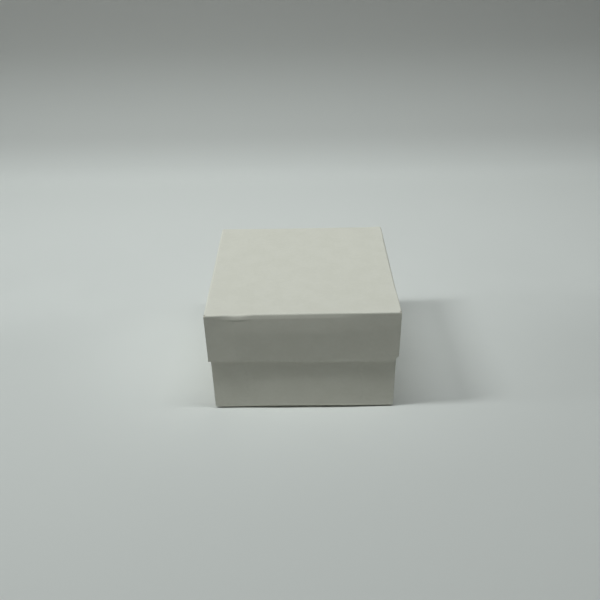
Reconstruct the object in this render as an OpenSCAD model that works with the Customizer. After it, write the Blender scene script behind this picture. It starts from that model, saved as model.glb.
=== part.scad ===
// A two-piece card box: an open tray, and a lid whose skirt slides down over it.
// Each piece is one flat sheet of card. Its four walls fold up along creases round the middle
// panel. The left and right walls carry a tab at each end, which folds round the corner and is
// glued flat behind the front or back wall.
// Origin: middle of the tray's underside, on the table. +X is right, +Y is back, +Z is up.

/* [Tray] */
// Outside width of the tray, left to right
base_w = 80; // [40:1:300]
// Outside depth of the tray, front to back
base_d = 80; // [40:1:300]
// Height of the tray, from the table to its rim
base_h = 50.5; // [30:0.5:200]
// Length of the tray's glue tabs, from their fold to their free end
base_tab = 14; // [6:0.5:18]

/* [Lid] */
// Height of the lid, from its top to its rim
lid_h = 24; // [12:0.5:50]
// Length of the lid's glue tabs, from their fold to their free end
lid_tab = 12; // [5:0.5:16]
// Play on each side between the tray and the lid's glue tabs
slip = 0.2; // [0.1:0.05:1.5]
// How far the worn point of the lid's rim, front right, is gone along each wall
worn_w = 2.2; // [0.4:0.1:6]
// How far the worn point is gone up the corner
worn_h = 2.6; // [0.4:0.1:8]

/* [Card] */
// Thickness of the card
card_t = 0.4; // [0.25:0.05:0.8]
// Radius on the inside of every fold
crease_in = 0.3; // [0.15:0.05:0.6]
// Angle at which a glue tab's two long edges are cut back
tab_taper = 15; // [0:1:25]

/* [Hidden] */
$fn = 64;

// Radius on the outside of every fold
crease_out = crease_in + card_t;
// How far the lid stands out past the tray on each side: its wall, its glue tab and the play
lid_over = 2 * card_t + slip;
lid_w = base_w + 2 * lid_over;
lid_d = base_d + 2 * lid_over;
// The lid's top panel lies on the tray's rim
lid_top = base_h + card_t;

card_colour = [0.87, 0.88, 0.84];

// A fold seen end-on: a quarter ring of card from the -X side round to the -Y side
module crease_section() {
    past = 2 * crease_out;
    difference() {
        circle(r = crease_out);
        circle(r = crease_in);
        translate([0, -past])
            square(2 * past);
        translate([-past, 0])
            square(2 * past);
    }
}

// The front wall and the fold below it. The wall runs the sheet's full width, over the side folds
module front_wall(w, d, h) {
    rotate([90, 0, 90])
        linear_extrude(w - 2 * crease_out, center = true)
            translate([crease_out - d / 2, crease_out])
                crease_section();
    translate([-w / 2, -d / 2, crease_out])
        cube([w, card_t, h - crease_out]);
}

// A glue tab, from its fold at X = 0, with its outer face against the wall in front of it
module glue_tab(rise, tab_l) {
    cut_back = tab_l * tan(tab_taper);
    translate([0, -crease_in, 0])
        rotate([90, 0, 0])
            linear_extrude(card_t)
                polygon([[0, 0], [tab_l, cut_back], [tab_l, rise - cut_back], [0, rise]]);
}

// The left wall with the fold below it, and a fold and a glue tab at each of its two ends
module left_wall(w, d, h, tab_l) {
    rise = h - crease_out;
    half_run = d / 2 - card_t - crease_out;
    rotate([90, 0, 0])
        linear_extrude(2 * half_run, center = true)
            translate([crease_out - w / 2, crease_out])
                crease_section();
    translate([-w / 2, -half_run, crease_out])
        cube([card_t, 2 * half_run, rise]);
    for (back = [0, 1])
        mirror([0, back, 0])
            translate([crease_out - w / 2, -half_run, crease_out]) {
                linear_extrude(rise)
                    crease_section();
                glue_tab(rise, tab_l);
            }
}

// One sheet folded into an open box, with its middle panel on the table. Each corner of the
// middle panel keeps the small open notch that is cut there so that the folds can meet
module folded_sheet(w, d, h, tab_l) {
    translate([crease_out - w / 2, crease_out - d / 2, 0])
        cube([w - 2 * crease_out, d - 2 * crease_out, card_t]);
    for (turn = [0, 180])
        rotate([0, 0, turn]) {
            front_wall(w, d, h);
            left_wall(w, d, h, tab_l);
        }
}

// What is worn off the point of a rim, with the corner at the origin and the sheet below it
module worn_point() {
    run_in = worn_w / sqrt(2);
    rotate([90, 0, -45])
        linear_extrude(4 * worn_w, center = true)
            polygon([[-run_in, 0], [0, -worn_h], [worn_w, -worn_h], [worn_w, worn_h], [-run_in, worn_h]]);
}

module base_tray() {
    color(card_colour)
        folded_sheet(base_w, base_d, base_h, base_tab);
}

module lid() {
    color(card_colour)
        translate([0, 0, lid_top])
            mirror([0, 0, 1])
                difference() {
                    folded_sheet(lid_w, lid_d, lid_h, lid_tab);
                    translate([lid_w / 2, -lid_d / 2, lid_h])
                        worn_point();
                }
}

base_tray();
lid();
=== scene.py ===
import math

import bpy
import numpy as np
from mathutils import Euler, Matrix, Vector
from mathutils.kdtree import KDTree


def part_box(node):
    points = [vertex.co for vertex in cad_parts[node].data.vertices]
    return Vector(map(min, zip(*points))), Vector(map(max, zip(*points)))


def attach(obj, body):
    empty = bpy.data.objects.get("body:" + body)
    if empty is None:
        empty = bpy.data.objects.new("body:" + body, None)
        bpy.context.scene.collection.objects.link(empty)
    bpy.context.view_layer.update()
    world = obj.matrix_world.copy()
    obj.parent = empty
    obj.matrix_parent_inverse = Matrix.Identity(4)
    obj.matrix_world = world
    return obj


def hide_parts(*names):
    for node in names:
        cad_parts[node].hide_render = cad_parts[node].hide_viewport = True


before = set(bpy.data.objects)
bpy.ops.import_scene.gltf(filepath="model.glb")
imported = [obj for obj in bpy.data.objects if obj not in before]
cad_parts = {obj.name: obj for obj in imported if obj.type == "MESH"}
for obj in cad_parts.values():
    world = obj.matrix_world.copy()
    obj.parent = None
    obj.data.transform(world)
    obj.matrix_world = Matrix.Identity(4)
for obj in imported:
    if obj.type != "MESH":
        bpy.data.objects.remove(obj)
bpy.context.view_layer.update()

# A small square gift box of plain off-white card: a tray, and a lid whose skirt slides down over
# it. Each is made as it is in life. A flat sheet is cut and creased, its walls fold up, and a tab
# at each end of the left and right walls folds round the corner and is glued behind the front or
# back wall.

TRAY_LOW, TRAY_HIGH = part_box("base_tray")
LID_LOW, LID_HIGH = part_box("lid")

MM = 0.001
# The thickness of the card, and of the glue under a tab
CARD = LID_HIGH.z - TRAY_HIGH.z
GLUE = 0.03 * MM
# The radius of a sharp fold, to the middle of the card, and how far a softer one reaches
TIGHT = 0.38 * MM
SOFT_REACH = 3.5 * MM
# What a fold of radius 1 saves on each of its two sides, measured along the card, against a square
# corner
CORNER_CUT = 1 - math.pi / 4
TAB_CUT_BACK = math.tan(math.radians(15))
# The reach of the paler crest (opened fibres and painted highlight) to each side of a fold's middle
CREST_REACH = 0.45 * MM
# What the front and back walls, which stand out of true, need of the CAD model's depth
OUT_OF_TRUE = 0.5 * MM
# How far inside the CAD model's width the side walls stay, and the end walls' cut ends
SIDE_ROOM, END_ROOM = 0.005 * MM, 0.02 * MM
# The mesh: steps round a fold, its spacing near an edge and further in, and how far near reaches
FOLD_STEPS = 6
FINE, COARSE, FINE_REACH = 0.3 * MM, 1.2 * MM, 3.2 * MM
# Points this near on the flat sheet are one point. An edge that turns more than this is sharp
SAME_PLACE = 0.001 * MM
SHARP_TURN = math.radians(35)
# Places in a piece's list of materials. The outside is the first
INSIDE, CUT_EDGE = 1, 2


def smooth(share):
    """A soft step from 0 to 1 as share goes from 0 to 1."""
    share = np.clip(share, 0.0, 1.0)
    return share * share * (3 - 2 * share)


def hill(place, middle, reach):
    """1 at middle, falling softly to 0 at reach to either side of it."""
    return smooth(1 - np.abs(place - middle) / reach)


def on_wall(place, half):
    """1 on the walls that stand at half to either side, 0 a little way in from them."""
    return smooth((np.abs(place) / half - 0.9) / 0.08)


def off_corners(place, half):
    """1 in the middle of a wall, 0 at its ends, which are at half to either side."""
    return np.clip(1 - (place / half) ** 2, 0, 1)


def stations(low, high):
    """Places from low to high, close together near both ends and further apart between."""
    length = high - low
    edge = min(FINE_REACH, length / 3)
    near = np.linspace(0, edge, max(2, round(edge / FINE) + 1))
    between = np.linspace(edge, length - edge, max(2, round((length - 2 * edge) / COARSE) + 1))
    return low + np.concatenate([near, between[1:-1], length - near[::-1]])


def fold_profile(along, radius):
    """Where the card lies round a right-angled fold: how far out from the wall's plane, and how far
    up from the panel's. along is measured on the card from the middle of the fold, minus on the
    panel and plus on the wall. A softer fold keeps both planes and only rounds the corner more."""
    half = math.pi / 4 * radius
    distance = np.abs(along)
    ease = smooth((SOFT_REACH - distance) / (SOFT_REACH - half))
    straight = distance + CORNER_CUT * (TIGHT + (radius - TIGHT) * ease)
    turn = np.clip(along / radius, -math.pi / 4, math.pi / 4) + math.pi / 4
    bent = distance < half
    out = np.where(bent, radius * (np.sin(turn) - 1), np.where(along < 0, -straight, 0.0))
    up = np.where(bent, radius * (1 - np.cos(turn)), np.where(along > 0, straight, 0.0))
    return out, up


class Sheet:
    """One sheet of card folded up into an open box, its middle panel on z = 0 and its rim on top.
    softness gives a fold's radius, and rim the height that a wall gains or loses at its cut edge.
    Both take the wall's side and the place along it. shape gives how far each point is out of
    true."""

    def __init__(self, width, depth, height, tab, softness, rim, shape):
        self.wall_x = width / 2 - CARD / 2 - SIDE_ROOM
        self.wall_y = depth / 2 - CARD / 2
        self.edge_x = width / 2 - END_ROOM
        self.height = height
        self.tab = tab
        self.softness = softness
        self.rim = rim
        self.shape = shape
        self.tab_y = self.wall_y - CARD - GLUE
        self.run = self.tab_y - TIGHT
        self.points, self.flat, self.crest, self.quads = [], [], [], []

    def rows(self, rim, cut_back=0.0):
        """Places up a wall on the card, from the top of its fold to its cut edge."""
        low = math.pi / 4 * TIGHT
        high = self.height - CARD / 2 - CORNER_CUT * TIGHT
        share = (stations(low, high) - low) / (high - low)
        low, high = low + cut_back, high + rim - cut_back
        return low + np.multiply.outer(share, high - low)

    def add(self, u, v, x, y, z, crest):
        """Adds a grid of card. u and v are its places on the flat sheet."""
        u, v, x, y, z, crest = np.broadcast_arrays(u, v, x, y, z, crest)
        first = sum(len(p) for p in self.points)
        self.points.append(np.stack([x, y, z + CARD / 2], -1).reshape(-1, 3))
        self.flat.append(np.stack([u, v], -1).reshape(-1, 2))
        self.crest.append(crest.reshape(-1))
        index = first + np.arange(u.size).reshape(u.shape)
        quads = np.stack([index[:-1, :-1], index[1:, :-1], index[1:, 1:], index[:-1, 1:]], -1)
        self.quads.append(quads.reshape(-1, 4))

    def add_panel(self):
        """The middle panel, with the beginnings of its four folds."""
        end_x, end_y = self.wall_x - TIGHT, self.wall_y - TIGHT
        x = stations(-end_x, end_x)[None, :]
        y = np.concatenate([[-end_y], stations(-self.run, self.run), [end_y]])[:, None]
        side_x = np.where(x < 0, self.softness("left", y), self.softness("right", y))
        side_y = np.where(y < 0, self.softness("front", x), self.softness("back", x))
        along_x = np.abs(x) - self.wall_x + CORNER_CUT * TIGHT
        along_y = np.abs(y) - self.wall_y + CORNER_CUT * TIGHT
        out_x, up_x = fold_profile(along_x, side_x)
        out_y, up_y = fold_profile(along_y, side_y)
        crest = np.maximum(self.crest_near(along_x), self.crest_near(along_y))
        folded_x, folded_y = np.sign(x) * (self.wall_x + out_x), np.sign(y) * (self.wall_y + out_y)
        self.add(x, y, folded_x, folded_y, up_x + up_y, crest)

    def crest_near(self, along):
        """1 on the middle of a fold, 0 a little way from it."""
        return np.exp(-((along / CREST_REACH) ** 2))

    def add_end_wall(self, side, sign):
        """The front or back wall. It is wider than the fold that carries it, and hides the side
        folds."""
        end = self.wall_x - TIGHT
        x = stations(-end, end)
        fold = np.linspace(-math.pi / 4 * TIGHT, math.pi / 4 * TIGHT, FOLD_STEPS + 1)[:, None]
        past = np.linspace(end, self.edge_x, 3)
        wide = np.concatenate([-past[:0:-1], x, past[1:]])
        for across, along in ((x, fold + 0 * x), (wide, self.rows(self.rim(side, wide)))):
            out, up = fold_profile(along, self.softness(side, across)[None, :])
            v = sign * (self.wall_y - CORNER_CUT * TIGHT + along)
            y = sign * (self.wall_y + out)
            self.add(across[None, :], v, across[None, :], y, up, self.crest_near(along))

    def add_side_wall(self, side, sign):
        """The left or right wall, with a fold and a glue tab at each of its ends."""
        y = stations(-self.run, self.run)
        fold = np.linspace(-math.pi / 4 * TIGHT, math.pi / 4 * TIGHT, FOLD_STEPS + 1)[:, None]
        for along in (fold + 0 * y, self.rows(self.rim(side, y))):
            out, up = fold_profile(along, self.softness(side, y)[None, :])
            u = sign * (self.wall_x - CORNER_CUT * TIGHT + along)
            x = sign * (self.wall_x + out)
            self.add(u, y[None, :], x, y[None, :], up, self.crest_near(along))
        for end in (-1, 1):
            self.add_tab(side, sign, end)

    def add_tab(self, side, sign, end):
        """The upright fold at one end of a side wall, and the glue tab that it carries."""
        bend = math.pi / 2 * TIGHT
        round_fold = np.linspace(0, bend, FOLD_STEPS + 1)
        past = np.concatenate([round_fold, bend + stations(0, self.tab)[1:]])
        cut_back = np.maximum(past - bend, 0) * TAB_CUT_BACK
        along = self.rows(self.rim(side, np.full_like(past, end * self.run)), cut_back)
        turn = np.clip(past / TIGHT, 0, math.pi / 2)
        straight = np.maximum(past - bend, 0)
        x = self.wall_x - TIGHT * (1 - np.cos(turn)) - straight
        y = self.run + TIGHT * np.sin(turn)
        up = fold_profile(along, np.full(along.shape, TIGHT))[1]
        u = sign * (self.wall_x - CORNER_CUT * TIGHT + along)
        v = end * (self.run + past)
        crest = np.maximum(self.crest_near(along), self.crest_near(past - bend / 2))
        self.add(u, v[None, :], sign * x[None, :], end * y[None, :], up, crest)

    def build(self, name, top=None):
        """The folded sheet as an object with its real thickness. With top given, the sheet is
        turned over, so that its middle panel's outer face is at that height."""
        self.add_panel()
        for sign, end_wall, side_wall in ((-1, "front", "left"), (1, "back", "right")):
            self.add_end_wall(end_wall, sign)
            self.add_side_wall(side_wall, sign)
        points, flat = np.concatenate(self.points), np.concatenate(self.flat)
        quads, crest = np.concatenate(self.quads), np.concatenate(self.crest)
        points = points + self.shape(points)
        if top is not None:
            points[:, 2] = top - points[:, 2]
        # Grids meet where they have the same place on the flat sheet
        key = np.round(flat / SAME_PLACE).astype(np.int64)
        first, joined = np.unique(key, axis=0, return_index=True, return_inverse=True)[1:]
        points, flat, crest = points[first], flat[first], crest[first]
        quads = joined.reshape(-1)[quads]
        # The outer face is the one that lies underneath while the sheet is flat
        corners = flat[quads]
        across, down = corners[:, 2] - corners[:, 0], corners[:, 3] - corners[:, 1]
        upward = across[:, 0] * down[:, 1] - across[:, 1] * down[:, 0] > 0
        turned = upward if top is None else ~upward
        quads[turned] = quads[turned][:, ::-1]
        mesh = bpy.data.meshes.new(name)
        mesh.from_pydata(points.tolist(), [], quads.tolist())
        layer = mesh.uv_layers.new(name="flat_sheet")
        loops = np.zeros(len(mesh.loops), np.int32)
        mesh.loops.foreach_get("vertex_index", loops)
        layer.uv.foreach_set("vector", flat[loops].astype(np.float32).ravel())
        for mark, values in (("crest", crest), ("near_cut", self.near_cut_edge(mesh, points))):
            attribute = mesh.attributes.new(mark, "FLOAT", "POINT")
            attribute.data.foreach_set("value", values.astype(np.float32))
        return thicken(mesh, name)

    def near_cut_edge(self, mesh, points):
        """1 at a cut edge of the sheet, 0 at 1 mm from it, for each point."""
        faces_of = {}
        for polygon in mesh.polygons:
            for key in polygon.edge_keys:
                faces_of[key] = faces_of.get(key, 0) + 1
        cut = sorted({v for key, count in faces_of.items() if count == 1 for v in key})
        tree = KDTree(len(cut))
        for i, v in enumerate(cut):
            tree.insert(points[v], i)
        tree.balance()
        gap = np.array([tree.find(p)[2] for p in points])
        return smooth(1 - gap / MM)


def thicken(mesh, name):
    """Gives a sheet the card's thickness, half to each side, and leaves a plain mesh."""
    thin = bpy.data.objects.new(name, mesh)
    bpy.context.scene.collection.objects.link(thin)
    ply = thin.modifiers.new("card", "SOLIDIFY")
    ply.thickness = CARD
    ply.offset = 0
    ply.use_even_offset = True
    ply.material_offset = INSIDE
    ply.material_offset_rim = CUT_EDGE
    for finish in (card_outside, card_inside, card_cut):
        mesh.materials.append(finish)
    bpy.context.view_layer.update()
    depsgraph = bpy.context.evaluated_depsgraph_get()
    solid = bpy.data.meshes.new_from_object(thin.evaluated_get(depsgraph))
    bpy.data.objects.remove(thin)
    bpy.data.meshes.remove(mesh)
    solid.name = name
    solid.polygons.foreach_set("use_smooth", np.ones(len(solid.polygons), bool))
    solid.set_sharp_from_angle(angle=SHARP_TURN)
    piece = bpy.data.objects.new(name, solid)
    bpy.context.scene.collection.objects.link(piece)
    return piece


class Wire:
    """A socket of a material. Arithmetic on it in Python adds Math nodes to the material."""

    def __init__(self, tree, socket=None):
        self.tree = tree
        self.socket = socket

    def node(self, kind, settings=None, sockets=None, output=0):
        """Adds any node: its settings first, then its sockets' values or links, by name or
        number."""
        node = self.tree.nodes.new(kind)
        for key, value in (settings or {}).items():
            setattr(node, key, value)
        for key, value in (sockets or {}).items():
            if isinstance(value, Wire):
                self.tree.links.new(value.socket, node.inputs[key])
            else:
                node.inputs[key].default_value = value
        return Wire(self.tree, node.outputs[output] if node.outputs else None)

    def math(self, operation, first, second):
        return self.node("ShaderNodeMath", {"operation": operation}, {0: first, 1: second})

    def __add__(self, other):
        return self.math("ADD", self, other)

    def __radd__(self, other):
        return self.math("ADD", other, self)

    def __sub__(self, other):
        return self.math("SUBTRACT", self, other)

    def __rsub__(self, other):
        return self.math("SUBTRACT", other, self)

    def __mul__(self, other):
        return self.math("MULTIPLY", self, other)

    def __rmul__(self, other):
        return self.math("MULTIPLY", other, self)

    def between(self, low, high):
        """0 up to low, 1 from high on."""
        settings = {"interpolation_type": "SMOOTHSTEP"}
        sockets = {"Value": self, "From Min": low, "From Max": high}
        return self.node("ShaderNodeMapRange", settings, sockets)

    def blend(self, colour, other):
        """colour where this wire is 0, other where it is 1."""
        settings = {"data_type": "RGBA"}
        return self.node("ShaderNodeMix", settings, {0: self, 6: colour, 7: other}, output=2)

    def seen(self):
        """1 for what is seen straight, in a reflection or through glass, 0 for what only gives
        light."""
        kinds = ("Is Camera Ray", "Is Glossy Ray", "Is Transmission Ray")
        rays = [self.node("ShaderNodeLightPath", output=kind) for kind in kinds]
        return rays[0] + rays[1] + rays[2]

    def bump(self, height, depth):
        """A normal that is pressed in and out over depth metres."""
        sockets = {"Strength": 1.0, "Distance": depth, "Height": height}
        return self.node("ShaderNodeBump", {}, sockets)

    def noise(self, places, size, detail=3.0, roughness=0.55):
        """Soft noise between about 0.3 and 0.7, whose blotches are about size metres across."""
        sockets = {"Vector": places, "Scale": 1 / size, "Detail": detail, "Roughness": roughness}
        return self.node("ShaderNodeTexNoise", {}, sockets)


def srgb(red, green, blue):
    """A colour given as it looks on a screen, 0 to 255, in the linear values that shaders take."""
    shares = [c / 255 for c in (red, green, blue)]
    linear = [c / 12.92 if c <= 0.04045 else ((c + 0.055) / 1.055) ** 2.4 for c in shares]
    return (*linear, 1.0)


def blank_material(name):
    material = bpy.data.materials.new(name)
    material.use_nodes = True
    material.node_tree.nodes.clear()
    return material, Wire(material.node_tree)


def card_finish(name, pale, shade, tooth, rough):
    """A face of the card: matte, faintly cloudy, with pressed-in fibres and a fine tooth. Its folds
    are a little paler along their crests, partly where the fibres have opened and partly a painted
    highlight. Its cut edges are a little greyer from handling, and fuzzy and pale here and there."""
    material, wire = blank_material(name)
    sheet = wire.node("ShaderNodeUVMap", {"uv_map": "flat_sheet"})
    crest = wire.node("ShaderNodeAttribute", {"attribute_name": "crest"}, output="Fac")
    near_cut = wire.node("ShaderNodeAttribute", {"attribute_name": "near_cut"}, output="Fac")
    cloud = wire.noise(sheet, 9 * MM, detail=2.0)
    formation = wire.noise(sheet, 1.6 * MM, detail=4.0)
    grain = wire.node("ShaderNodeMapping", {}, {"Vector": sheet, "Scale": (1.0, 0.16, 1.0)})
    fibre = wire.noise(grain, 0.22 * MM, detail=3.0, roughness=0.7)
    grit = wire.noise(sheet, 0.3 * MM, detail=3.0, roughness=0.6)
    fleck = fibre.between(0.56, 0.72)
    darker = cloud.between(0.35, 0.65) * 0.45 + formation.between(0.3, 0.7) * 0.35 + fleck * 0.3
    body = darker.blend(pale, shade)
    # Along each fold's crest the colour is paler: opened fibres, and a painted highlight
    opened_and_highlight = crest * grit.between(0.35, 0.65)
    pale_fibre_and_highlight = tuple(min(1.0, c * 1.13) for c in pale[:3]) + (1.0,)
    worn = (opened_and_highlight * 0.9).blend(body, pale_fibre_and_highlight)
    fuzzy = near_cut * cloud.between(0.5, 0.6) * 0.35
    handled = near_cut * (1 - fuzzy) * formation.between(0.4, 0.6) * 0.45
    handled_card = tuple(c * 0.9 for c in shade[:3]) + (1.0,)
    colour = handled.blend(fuzzy.blend(worn, pale_fibre_and_highlight), handled_card)
    height = grit * 0.6 + fibre * 0.4 + formation * 1.2 + opened_and_highlight * 1.5
    sockets = {
        "Base Color": colour,
        "Roughness": rough + 0.08 * formation - 0.05 * fleck,
        "Specular IOR Level": 0.28,
        "Normal": wire.bump(height, tooth),
    }
    shader = wire.node("ShaderNodeBsdfPrincipled", {}, sockets)
    wire.node("ShaderNodeOutputMaterial", {}, {"Surface": shader})
    return material


def cut_finish(name, pale, shade):
    """The card's cut edge, where its layers show: matt and fibrous."""
    material, wire = blank_material(name)
    places = wire.node("ShaderNodeTexCoord", output="Object")
    fibre = wire.noise(places, 0.25 * MM, detail=4.0, roughness=0.7)
    colour = fibre.between(0.35, 0.65).blend(pale, shade)
    normal = wire.bump(fibre, 0.03 * MM)
    sockets = {"Base Color": colour, "Roughness": 0.92, "Specular IOR Level": 0.2, "Normal": normal}
    shader = wire.node("ShaderNodeBsdfPrincipled", {}, sockets)
    wire.node("ShaderNodeOutputMaterial", {}, {"Surface": shader})
    return material


OUTSIDE_PALE, OUTSIDE_SHADE = srgb(223, 221, 210), srgb(217, 215, 203)
INSIDE_PALE, INSIDE_SHADE = srgb(217, 213, 202), srgb(207, 203, 191)
CUT_PALE, CUT_SHADE = srgb(220, 215, 204), srgb(202, 196, 184)

card_outside = card_finish("card_outside", OUTSIDE_PALE, OUTSIDE_SHADE, 0.008 * MM, rough=0.74)
card_inside = card_finish("card_inside", INSIDE_PALE, INSIDE_SHADE, 0.014 * MM, rough=0.84)
card_cut = cut_finish("card_cut", CUT_PALE, CUT_SHADE)


# The tray

TRAY_WIDTH = TRAY_HIGH.x - TRAY_LOW.x
TRAY_DEPTH = TRAY_HIGH.y - TRAY_LOW.y - OUT_OF_TRUE
# A little lower than the CAD model's, because the tray's folds stand clear of the table
TRAY_HEIGHT = TRAY_HIGH.z - 0.35 * MM
TRAY_TAB = 14 * MM


def tray_softness(side, along):
    """The tray's folds are sharp at the corners and a little soft between them."""
    most = {"front": 0.45, "back": 0.3, "left": 0.35, "right": 0.3}[side] * MM
    place = {"front": -8, "back": 6, "left": 4, "right": -5}[side] * MM
    return TIGHT + most * hill(along, place, 30 * MM)


def tray_rim(side, along):
    """The tray's cut edge wanders a little from true."""
    turn = {"front": 0.3, "back": 1.9, "left": 3.1, "right": 4.4}[side]
    return -0.06 * MM + 0.06 * MM * np.sin(along / (13 * MM) + turn)


def tray_shape(points):
    """The tray out of true. Its panel bellies down on to the table, so that its folds stand a
    little clear, most in the middle of the front, and each wall draws in a little towards the
    middle of its rim. The foot of the front wall stands out a little, most in its middle."""
    x, y, z = points.T
    half = TRAY_WIDTH / 2
    up = np.clip(z / TRAY_HEIGHT, 0, 1)
    middle = smooth((x + 30 * MM) / (22 * MM)) * smooth((38 * MM - x) / (22 * MM))
    clear = (0.74 + 0.08 * y / half + 0.35 * middle * np.clip(-y / half, 0, 1)) * MM
    belly = np.clip((1 - (x / half) ** 2) * (1 - (y / half) ** 2), 0, 1)
    lift = clear * (1 - up) * (1 - belly) ** 2
    in_x = (0.28 * hill(y, 5 * MM, 42 * MM) - 0.05 * np.sin(y / (9 * MM))) * MM * up ** 1.4
    in_y = (0.2 * hill(x, 4 * MM, 46 * MM) - 0.04 * np.sin(x / (8 * MM))) * MM * up ** 1.4
    kick = 0.12 * smooth((x + 22 * MM) / (12 * MM)) * np.clip(1 - z / (1.5 * MM), 0, 1) ** 1.5
    foot = (0.18 + 0.14 * x / half) * (1 - up) + 0.36 * middle * (1 - up) ** 2 + kick
    foot = np.where(y < 0, foot * MM, 0.0)
    move_x = -np.sign(x) * in_x * off_corners(y, half) * on_wall(x, half)
    move_y = (-np.sign(y) * in_y * off_corners(x, half) - foot) * on_wall(y, half)
    return np.stack([move_x, move_y, lift], -1)


tray_sheet = Sheet(
    TRAY_WIDTH, TRAY_DEPTH, TRAY_HEIGHT, TRAY_TAB, tray_softness, tray_rim, tray_shape
)
tray = tray_sheet.build("tray")
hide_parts("base_tray")
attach(tray, "tray")


# The lid, described as it lies turned over, so that its heights run down from its top

LID_WIDTH = LID_HIGH.x - LID_LOW.x
LID_DEPTH = LID_HIGH.y - LID_LOW.y - OUT_OF_TRUE
LID_HEIGHT = LID_HIGH.z - LID_LOW.z
# Lower than the CAD model's top, because one corner of the lid's top stands up
LID_TOP = LID_HIGH.z - 0.2 * MM
LID_TAB = 12 * MM
# The point of the rim at the front right is worn off: along the front, along the side, and upwards
WORN_ALONG, WORN_UP = 3.0 * MM, 2.6 * MM
# A short dent in the front fold, near its left end
DENT_MIDDLE, DENT_REACH = -27.5 * MM, 7.0 * MM
# Just below the front and right folds the card leans in, over this height
LEAN_FRONT, LEAN_RIGHT = 2.1 * MM, 1.5 * MM


def lid_softness(side, along):
    """The lid's folds are sharp at the corners and a little soft between them."""
    most = {"front": 0.1, "back": 0.3, "left": 0.4, "right": 0.2}[side] * MM
    place = {"front": -12, "back": -10, "left": -2, "right": 14}[side] * MM
    return TIGHT + most * hill(along, place, 30 * MM)


def lid_rim(side, along):
    """The skirt's cut edge. At the front it is cut longer to the right, up to its worn point."""
    if side == "front":
        long = -0.35 * MM + 1.1 * MM * smooth((along + 36 * MM) / (56 * MM))
        worn = WORN_UP * np.clip((along - LID_WIDTH / 2 + WORN_ALONG) / WORN_ALONG, 0, 1) ** 1.2
        return long - worn
    if side == "right":
        worn = WORN_UP * np.clip((WORN_ALONG - along - LID_DEPTH / 2) / WORN_ALONG, 0, 1) ** 1.2
        return -worn
    turn = {"back": 0.7, "left": 2.3}[side]
    return -0.05 * MM + 0.05 * MM * np.sin(along / (12 * MM) + turn)


def lid_shape(points):
    """The lid out of true. Its top is a little slack and a little twisted, and stands up at its
    back right corner. Its front skirt swells out below the fold and draws in again towards its
    rim, which curls out at one short place. Below the left two thirds of the front fold, and below
    the right fold, the card leans in, and the front fold has a small dent."""
    x, y, z = points.T
    half_x, half_y = LID_WIDTH / 2, LID_DEPTH / 2
    down = np.clip(z / LID_HEIGHT, 0, 1)
    fade_x, fade_y = off_corners(y, half_y), off_corners(x, half_x)
    slack = 0.3 * MM * fade_x * fade_y
    waves = np.sin(x / (11 * MM) + y / (17 * MM)) + np.sin(y / (9 * MM) - x / (23 * MM))
    ripple = 0.035 * MM * waves
    twist = 0.15 * MM * x * y / (half_x * half_y)
    corner = 0.34 * MM * smooth((x + y - 72 * MM) / (9 * MM))
    dent = hill(x, DENT_MIDDLE, DENT_REACH) * smooth((3.5 * MM - y - half_y) / (3.5 * MM))
    press = 0.42 * MM * dent * hill(z, 0, 4 * MM)
    bulge = 0.25 * MM * dent * smooth(z / (1.2 * MM)) * smooth((2.7 * MM - z) / (0.45 * MM))
    flare_front = 0.05 * MM * hill(x, 14 * MM, 44 * MM) * down ** 0.7
    flare_back = 0.12 * MM * hill(x, -8 * MM, 44 * MM) * down ** 0.8
    soft = smooth((x + 37 * MM) / (6 * MM)) * smooth((24 * MM - x) / (10 * MM))
    lean_front = 0.25 * MM * soft * np.clip(1 - z / LEAN_FRONT, 0, 1)
    along = smooth((x + 39 * MM) / (12 * MM)) * (1 - 0.4 * smooth((x - 4 * MM) / (30 * MM)))
    swell = along * (0.56 * np.clip(1 - z / (9.5 * MM), 0, 1) ** 1.4 - 0.2) * MM
    between = smooth((30 * MM - np.abs(x)) / (8 * MM))
    drawn_in = 0.24 * MM * between * np.clip((z - 8 * MM) / (16 * MM), 0, 1) ** 1.5
    at_rim = smooth((z - LID_HEIGHT + 0.6 * MM) / (0.8 * MM))
    curl = 0.09 * MM * hill(x, 17 * MM, 5 * MM) * at_rim
    lean_right = 0.55 * MM * smooth((y + 33 * MM) / (16 * MM)) * np.clip(1 - z / LEAN_RIGHT, 0, 1)
    lean_right = lean_right * (1 - 0.6 * hill(y, 33 * MM, 6 * MM))
    bow = 0.08 * MM * fade_x * down ** 1.3
    front = lean_front + swell + drawn_in - curl - (flare_front + bulge) * fade_y
    move_x = np.where(x < 0, bow, -bow - lean_right) * on_wall(x, half_x)
    move_y = np.where(y < 0, front, flare_back * fade_y) * on_wall(y, half_y)
    sink = slack + ripple * fade_x * fade_y + press + (twist - corner) * (1 - down)
    return np.stack([move_x, move_y, sink], -1)


lid_sheet = Sheet(
    LID_WIDTH, LID_DEPTH, LID_HEIGHT, LID_TAB, lid_softness, lid_rim, lid_shape
)
lid = lid_sheet.build("lid_cover", LID_TOP)
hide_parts("lid")
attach(lid, "lid")


# The floor is a wide pale sheet that sweeps up behind the box

# Where it starts in front, how far it reaches to each side, where its sweep starts, and how far it
# runs on above its bends
FLOOR_FRONT, FLOOR_SIDE, SWEEP_START, SWEEP_TOP = -1.2, 1.8, 0.23, 0.7
# The sweep is a tight bend and then a wide one: radius, and the tilt that it reaches in degrees
SWEEP_BENDS = ((0.03, 42), (0.12, 88))
BEND_STEPS = 16
# The underside of the tray just clears the floor
FLOOR_DROP = 0.02 * MM
ROOM_TONE = srgb(180, 185, 182)


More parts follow.
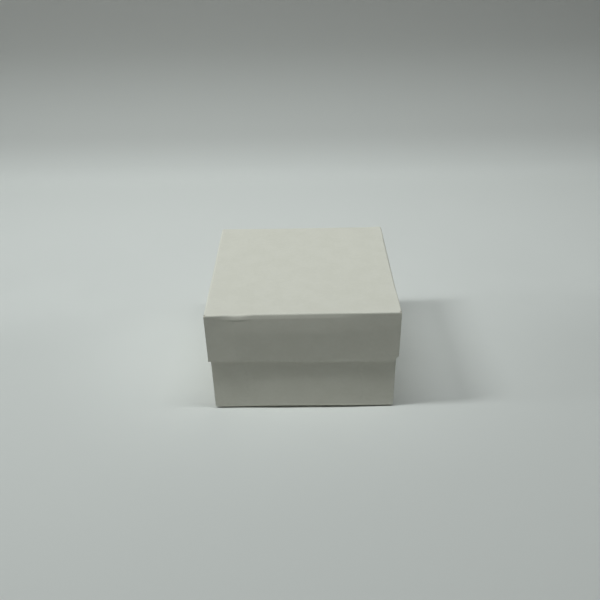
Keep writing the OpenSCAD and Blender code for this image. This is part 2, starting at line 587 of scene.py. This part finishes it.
def floor_finish():
    """Plain pale paper, a little cooler than the box. Painted shade greys it away from the box to
    the front and the sides, painted light makes it a little paler behind it, and painted shade
    greys it up the sweep."""
    material, wire = blank_material("floor_paper")
    places = wire.node("ShaderNodeTexCoord", output="Object")
    depth = wire.node("ShaderNodeSeparateXYZ", {}, {"Vector": places}, output="Y")
    height = wire.node("ShaderNodeSeparateXYZ", {}, {"Vector": places}, output="Z")
    cloud = wire.noise(places, 60 * MM, detail=2.0)
    grit = wire.noise(places, 0.8 * MM, detail=3.0)
    flat = cloud.between(0.35, 0.65).blend(srgb(222, 224, 221), srgb(220, 222, 219))
    ends = {0: places, 1: (0.0, 0.05, 0.0)}
    apart = wire.node("ShaderNodeVectorMath", {"operation": "DISTANCE"}, ends, output="Value")
    # Painted shade: the floor greys away from the box to the front and the sides
    outer = apart.between(0.07, 0.16) * (1 - depth.between(0.0, 0.06))
    flat = outer.blend(flat, srgb(213, 215, 212))
    # Painted light: the floor behind the box is paler
    flat = depth.between(0.03, 0.18).blend(flat, srgb(229, 231, 228))
    # Painted shade: the sweep greys as it rises
    rise_painted_shade = height.between(0.0, 0.03) * 0.45 + height.between(0.03, 0.13) * 0.55
    colour = rise_painted_shade.blend(flat, srgb(186, 186, 183))
    normal = wire.bump(grit, 0.01 * MM)
    sockets = {"Base Color": colour, "Roughness": 0.85, "Specular IOR Level": 0.3, "Normal": normal}
    shader = wire.node("ShaderNodeBsdfPrincipled", {}, sockets)
    # Far from the box, the eye sees the room's pale tone in place of unlit floor
    along_floor = {0: places, 1: (1.0, 1.0, 0.0)}
    level = wire.node("ShaderNodeVectorMath", {"operation": "MULTIPLY"}, along_floor)
    away = wire.node("ShaderNodeVectorMath", {"operation": "LENGTH"}, {0: level}, output="Value")
    glow = wire.node("ShaderNodeEmission", {}, {"Color": ROOM_TONE, "Strength": 1.0})
    far = away.between(0.46, 0.62) * wire.seen()
    surface = wire.node("ShaderNodeMixShader", {}, {0: far, 1: shader, 2: glow})
    wire.node("ShaderNodeOutputMaterial", {}, {"Surface": surface})
    return material


def make_floor():
    """The floor and its sweep, as one smooth sheet."""
    line = [(FLOOR_FRONT, 0.0), (SWEEP_START, 0.0)]
    tilt = 0.0
    for radius, end in SWEEP_BENDS:
        y, z = line[-1]
        middle_y, middle_z = y - radius * math.sin(tilt), z + radius * math.cos(tilt)
        for turn in np.linspace(tilt, math.radians(end), BEND_STEPS)[1:]:
            line.append((middle_y + radius * math.sin(turn), middle_z - radius * math.cos(turn)))
        tilt = math.radians(end)
    y, z = line[-1]
    line.append((y + SWEEP_TOP * math.cos(tilt), z + SWEEP_TOP * math.sin(tilt)))
    points = [(side, y, z - FLOOR_DROP) for y, z in line for side in (-FLOOR_SIDE, FLOOR_SIDE)]
    faces = [(2 * i, 2 * i + 1, 2 * i + 3, 2 * i + 2) for i in range(len(line) - 1)]
    mesh = bpy.data.meshes.new("floor")
    mesh.from_pydata(points, [], faces)
    mesh.polygons.foreach_set("use_smooth", np.ones(len(faces), bool))
    mesh.materials.append(floor_finish())
    floor = bpy.data.objects.new("floor", mesh)
    bpy.context.scene.collection.objects.link(floor)


make_floor()


# Light: one long lamp overhead, one high and one low on the left, and a weak one on the right.
# All are faintly cool. What little comes from the rest of the room is warm

LIGHT_COLOUR = (0.95, 1.0, 1.0)


def lamp(name, place, width, depth, power, aim, spread):
    """A flat lamp that looks at aim, with its light narrowed to spread degrees."""
    light = bpy.data.lights.new(name, "AREA")
    light.shape = "RECTANGLE"
    light.size = width
    light.size_y = depth
    light.energy = power
    light.color = LIGHT_COLOUR
    light.spread = math.radians(spread)
    holder = bpy.data.objects.new(name, light)
    holder.location = place
    holder.rotation_mode = "QUATERNION"
    holder.rotation_quaternion = (Vector(aim) - Vector(place)).to_track_quat("-Z", "Y")
    holder.visible_camera = False
    bpy.context.scene.collection.objects.link(holder)


lamp("overhead", (0.0, -0.10, 0.90), 0.8, 0.04, 1.16, (0, 0.05, 0), 95)
lamp("left_high", (-0.70, -0.115, 0.90), 0.1, 0.3, 0.85, (0, 0.04, 0), 90)
lamp("left_low", (-1.20, -0.09, 0.45), 0.08, 0.2, 0.24, (0, 0.04, 0.03), 80)
lamp("right", (0.50, -0.06, 0.80), 0.1, 0.2, 0.06, (0, 0.08, 0), 90)

world = bpy.data.worlds.new("room")
bpy.context.scene.world = world
world.use_nodes = True
world.node_tree.nodes.clear()
room = Wire(world.node_tree)
dim = room.node("ShaderNodeBackground", {}, {"Color": srgb(255, 244, 214), "Strength": 0.004})
pale = room.node("ShaderNodeBackground", {}, {"Color": ROOM_TONE, "Strength": 1.0})
sky = room.node("ShaderNodeMixShader", {}, {0: room.seen(), 1: dim, 2: pale})
room.node("ShaderNodeOutputWorld", {}, {"Surface": sky})


# Camera: a little above the box and square on to its front, rolled a degree as the photo is

CAMERA_PLACE = Vector((1.56, -269.14, 200.16)) * MM
CAMERA_TURN = Euler([math.radians(a) for a in (58.04, 1.05, -0.042)], "XYZ")

camera_lens = bpy.data.cameras.new("camera")
camera_lens.sensor_width = 36.0
camera_lens.lens = 39.80
camera_lens.clip_start = 0.01
camera = bpy.data.objects.new("camera", camera_lens)
camera.location = CAMERA_PLACE
camera.rotation_euler = CAMERA_TURN
bpy.context.scene.collection.objects.link(camera)
bpy.context.scene.camera = camera
bpy.context.scene.view_settings.view_transform = "Standard"
